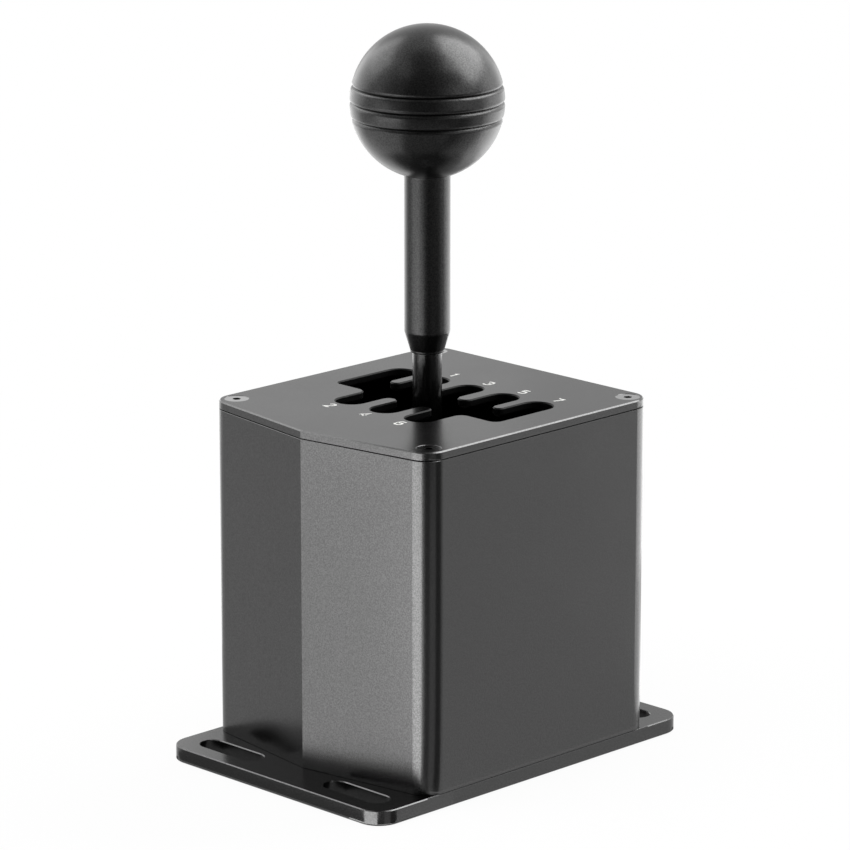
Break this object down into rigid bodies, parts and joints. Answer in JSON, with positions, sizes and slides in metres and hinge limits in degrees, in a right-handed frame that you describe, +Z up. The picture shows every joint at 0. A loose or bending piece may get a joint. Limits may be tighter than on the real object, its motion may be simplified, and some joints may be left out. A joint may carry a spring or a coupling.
{
  "type": "sim racing gear shifter",
  "caption": "Free-standing H-pattern gear shifter with a ball knob on an upright lever, a slotted gate plate, a boxed metal housing and a slotted base plate.",
  "frame": {"origin": "bottom centre of the base plate", "axes": "+X to the driver's right, +Y away from the driver, +Z up along the upright lever"},
  "size_m": [0.1, 0.143, 0.2415],
  "materials": {
    "anodised_base": "bead-blasted, black anodised",
    "anodised_shell": "bead-blasted, dark grey anodised",
    "anodised_gate": "bead-blasted, dark grey anodised",
    "black_oxide_steel": "black oxide",
    "zinc_steel": "zinc plated",
    "milled_aluminium": "milled",
    "bearing_steel": "ground",
    "ground_steel": "ground",
    "spring_steel": "drawn wire",
    "circuit_board": "solder mask",
    "chip_epoxy": "moulded epoxy",
    "socket_plastic": "moulded nylon",
    "brass": "turned",
    "bronze": "sintered bronze",
    "magnet_nickel": "nickel plated",
    "acetal": "machined acetal",
    "black_rod": "black oxide",
    "black_sleeve": "satin black anodised",
    "black_knob": "satin black anodised"
  },
  "bodies": {
    "housing": {"base_plate": "anodised_base", "housing_shell": "anodised_shell", "gate_plate": "anodised_gate", "gate_screws": "black_oxide_steel", "base_screws": "black_oxide_steel", "bracket_screws": "black_oxide_steel", "front_stand": "milled_aluminium", "rear_stand": "milled_aluminium", "select_bearings": "bearing_steel", "select_sensor_board": "circuit_board", "select_sensor_chip": "chip_epoxy", "select_sensor_screws": "zinc_steel", "left_bracket": "milled_aluminium", "right_bracket": "milled_aluminium", "guide_rod": "ground_steel", "left_centring_spring": "spring_steel", "right_centring_spring": "spring_steel", "main_board": "circuit_board", "board_standoffs": "brass", "board_screws": "zinc_steel", "controller_chip": "chip_epoxy", "data_socket": "socket_plastic"},
    "cradle": {"cradle_frame": "milled_aluminium", "front_select_stub": "ground_steel", "rear_select_stub": "ground_steel", "select_magnet": "magnet_nickel", "shift_bushes": "bronze", "detent_bridge": "acetal", "bridge_screws": "black_oxide_steel", "drive_pin": "ground_steel", "shift_sensor_board": "circuit_board", "shift_sensor_chip": "chip_epoxy", "shift_sensor_screws": "zinc_steel"},
    "lever": {"lever_hub": "milled_aluminium", "hub_set_screws": "black_oxide_steel", "shift_axle": "ground_steel", "shift_magnet": "magnet_nickel", "lever_rod": "black_rod", "lever_sleeve": "black_sleeve", "ball_knob": "black_knob", "knob_insert": "brass", "detent_barrel": "ground_steel", "detent_spring": "spring_steel"},
    "plunger": {"detent_plunger": "ground_steel"},
    "slider": {"centring_slider": "acetal"}
  },
  "joints": [
    {"name": "select_tilt", "type": "hinge", "parent": "housing", "child": "cradle", "pos_m": [0, 0, 0.054], "axis": [0, 1, 0], "range_deg": [-14.4, 14.4], "stiffness_Nm_per_rad": 3},
    {"name": "shift_tilt", "type": "hinge", "parent": "cradle", "child": "lever", "pos_m": [0, 0, 0.054], "axis": [1, 0, 0], "range_deg": [-15.6, 15.6]},
    {"name": "plunger_slide", "type": "slide", "parent": "lever", "child": "plunger", "axis": [0, 0, 1], "range_m": [-0.001, 0.002], "stiffness_N_per_m": 500, "deforming": ["detent_spring"]},
    {"name": "slider_slide", "type": "slide", "parent": "housing", "child": "slider", "axis": [1, 0, 0], "range_m": [-0.0095, 0.0095], "deforming": ["left_centring_spring", "right_centring_spring"]}
  ],
  "couplings": [
    {"joint": "slider_slide", "follows": "select_tilt", "m_per_rad": -0.0358}
  ]
}
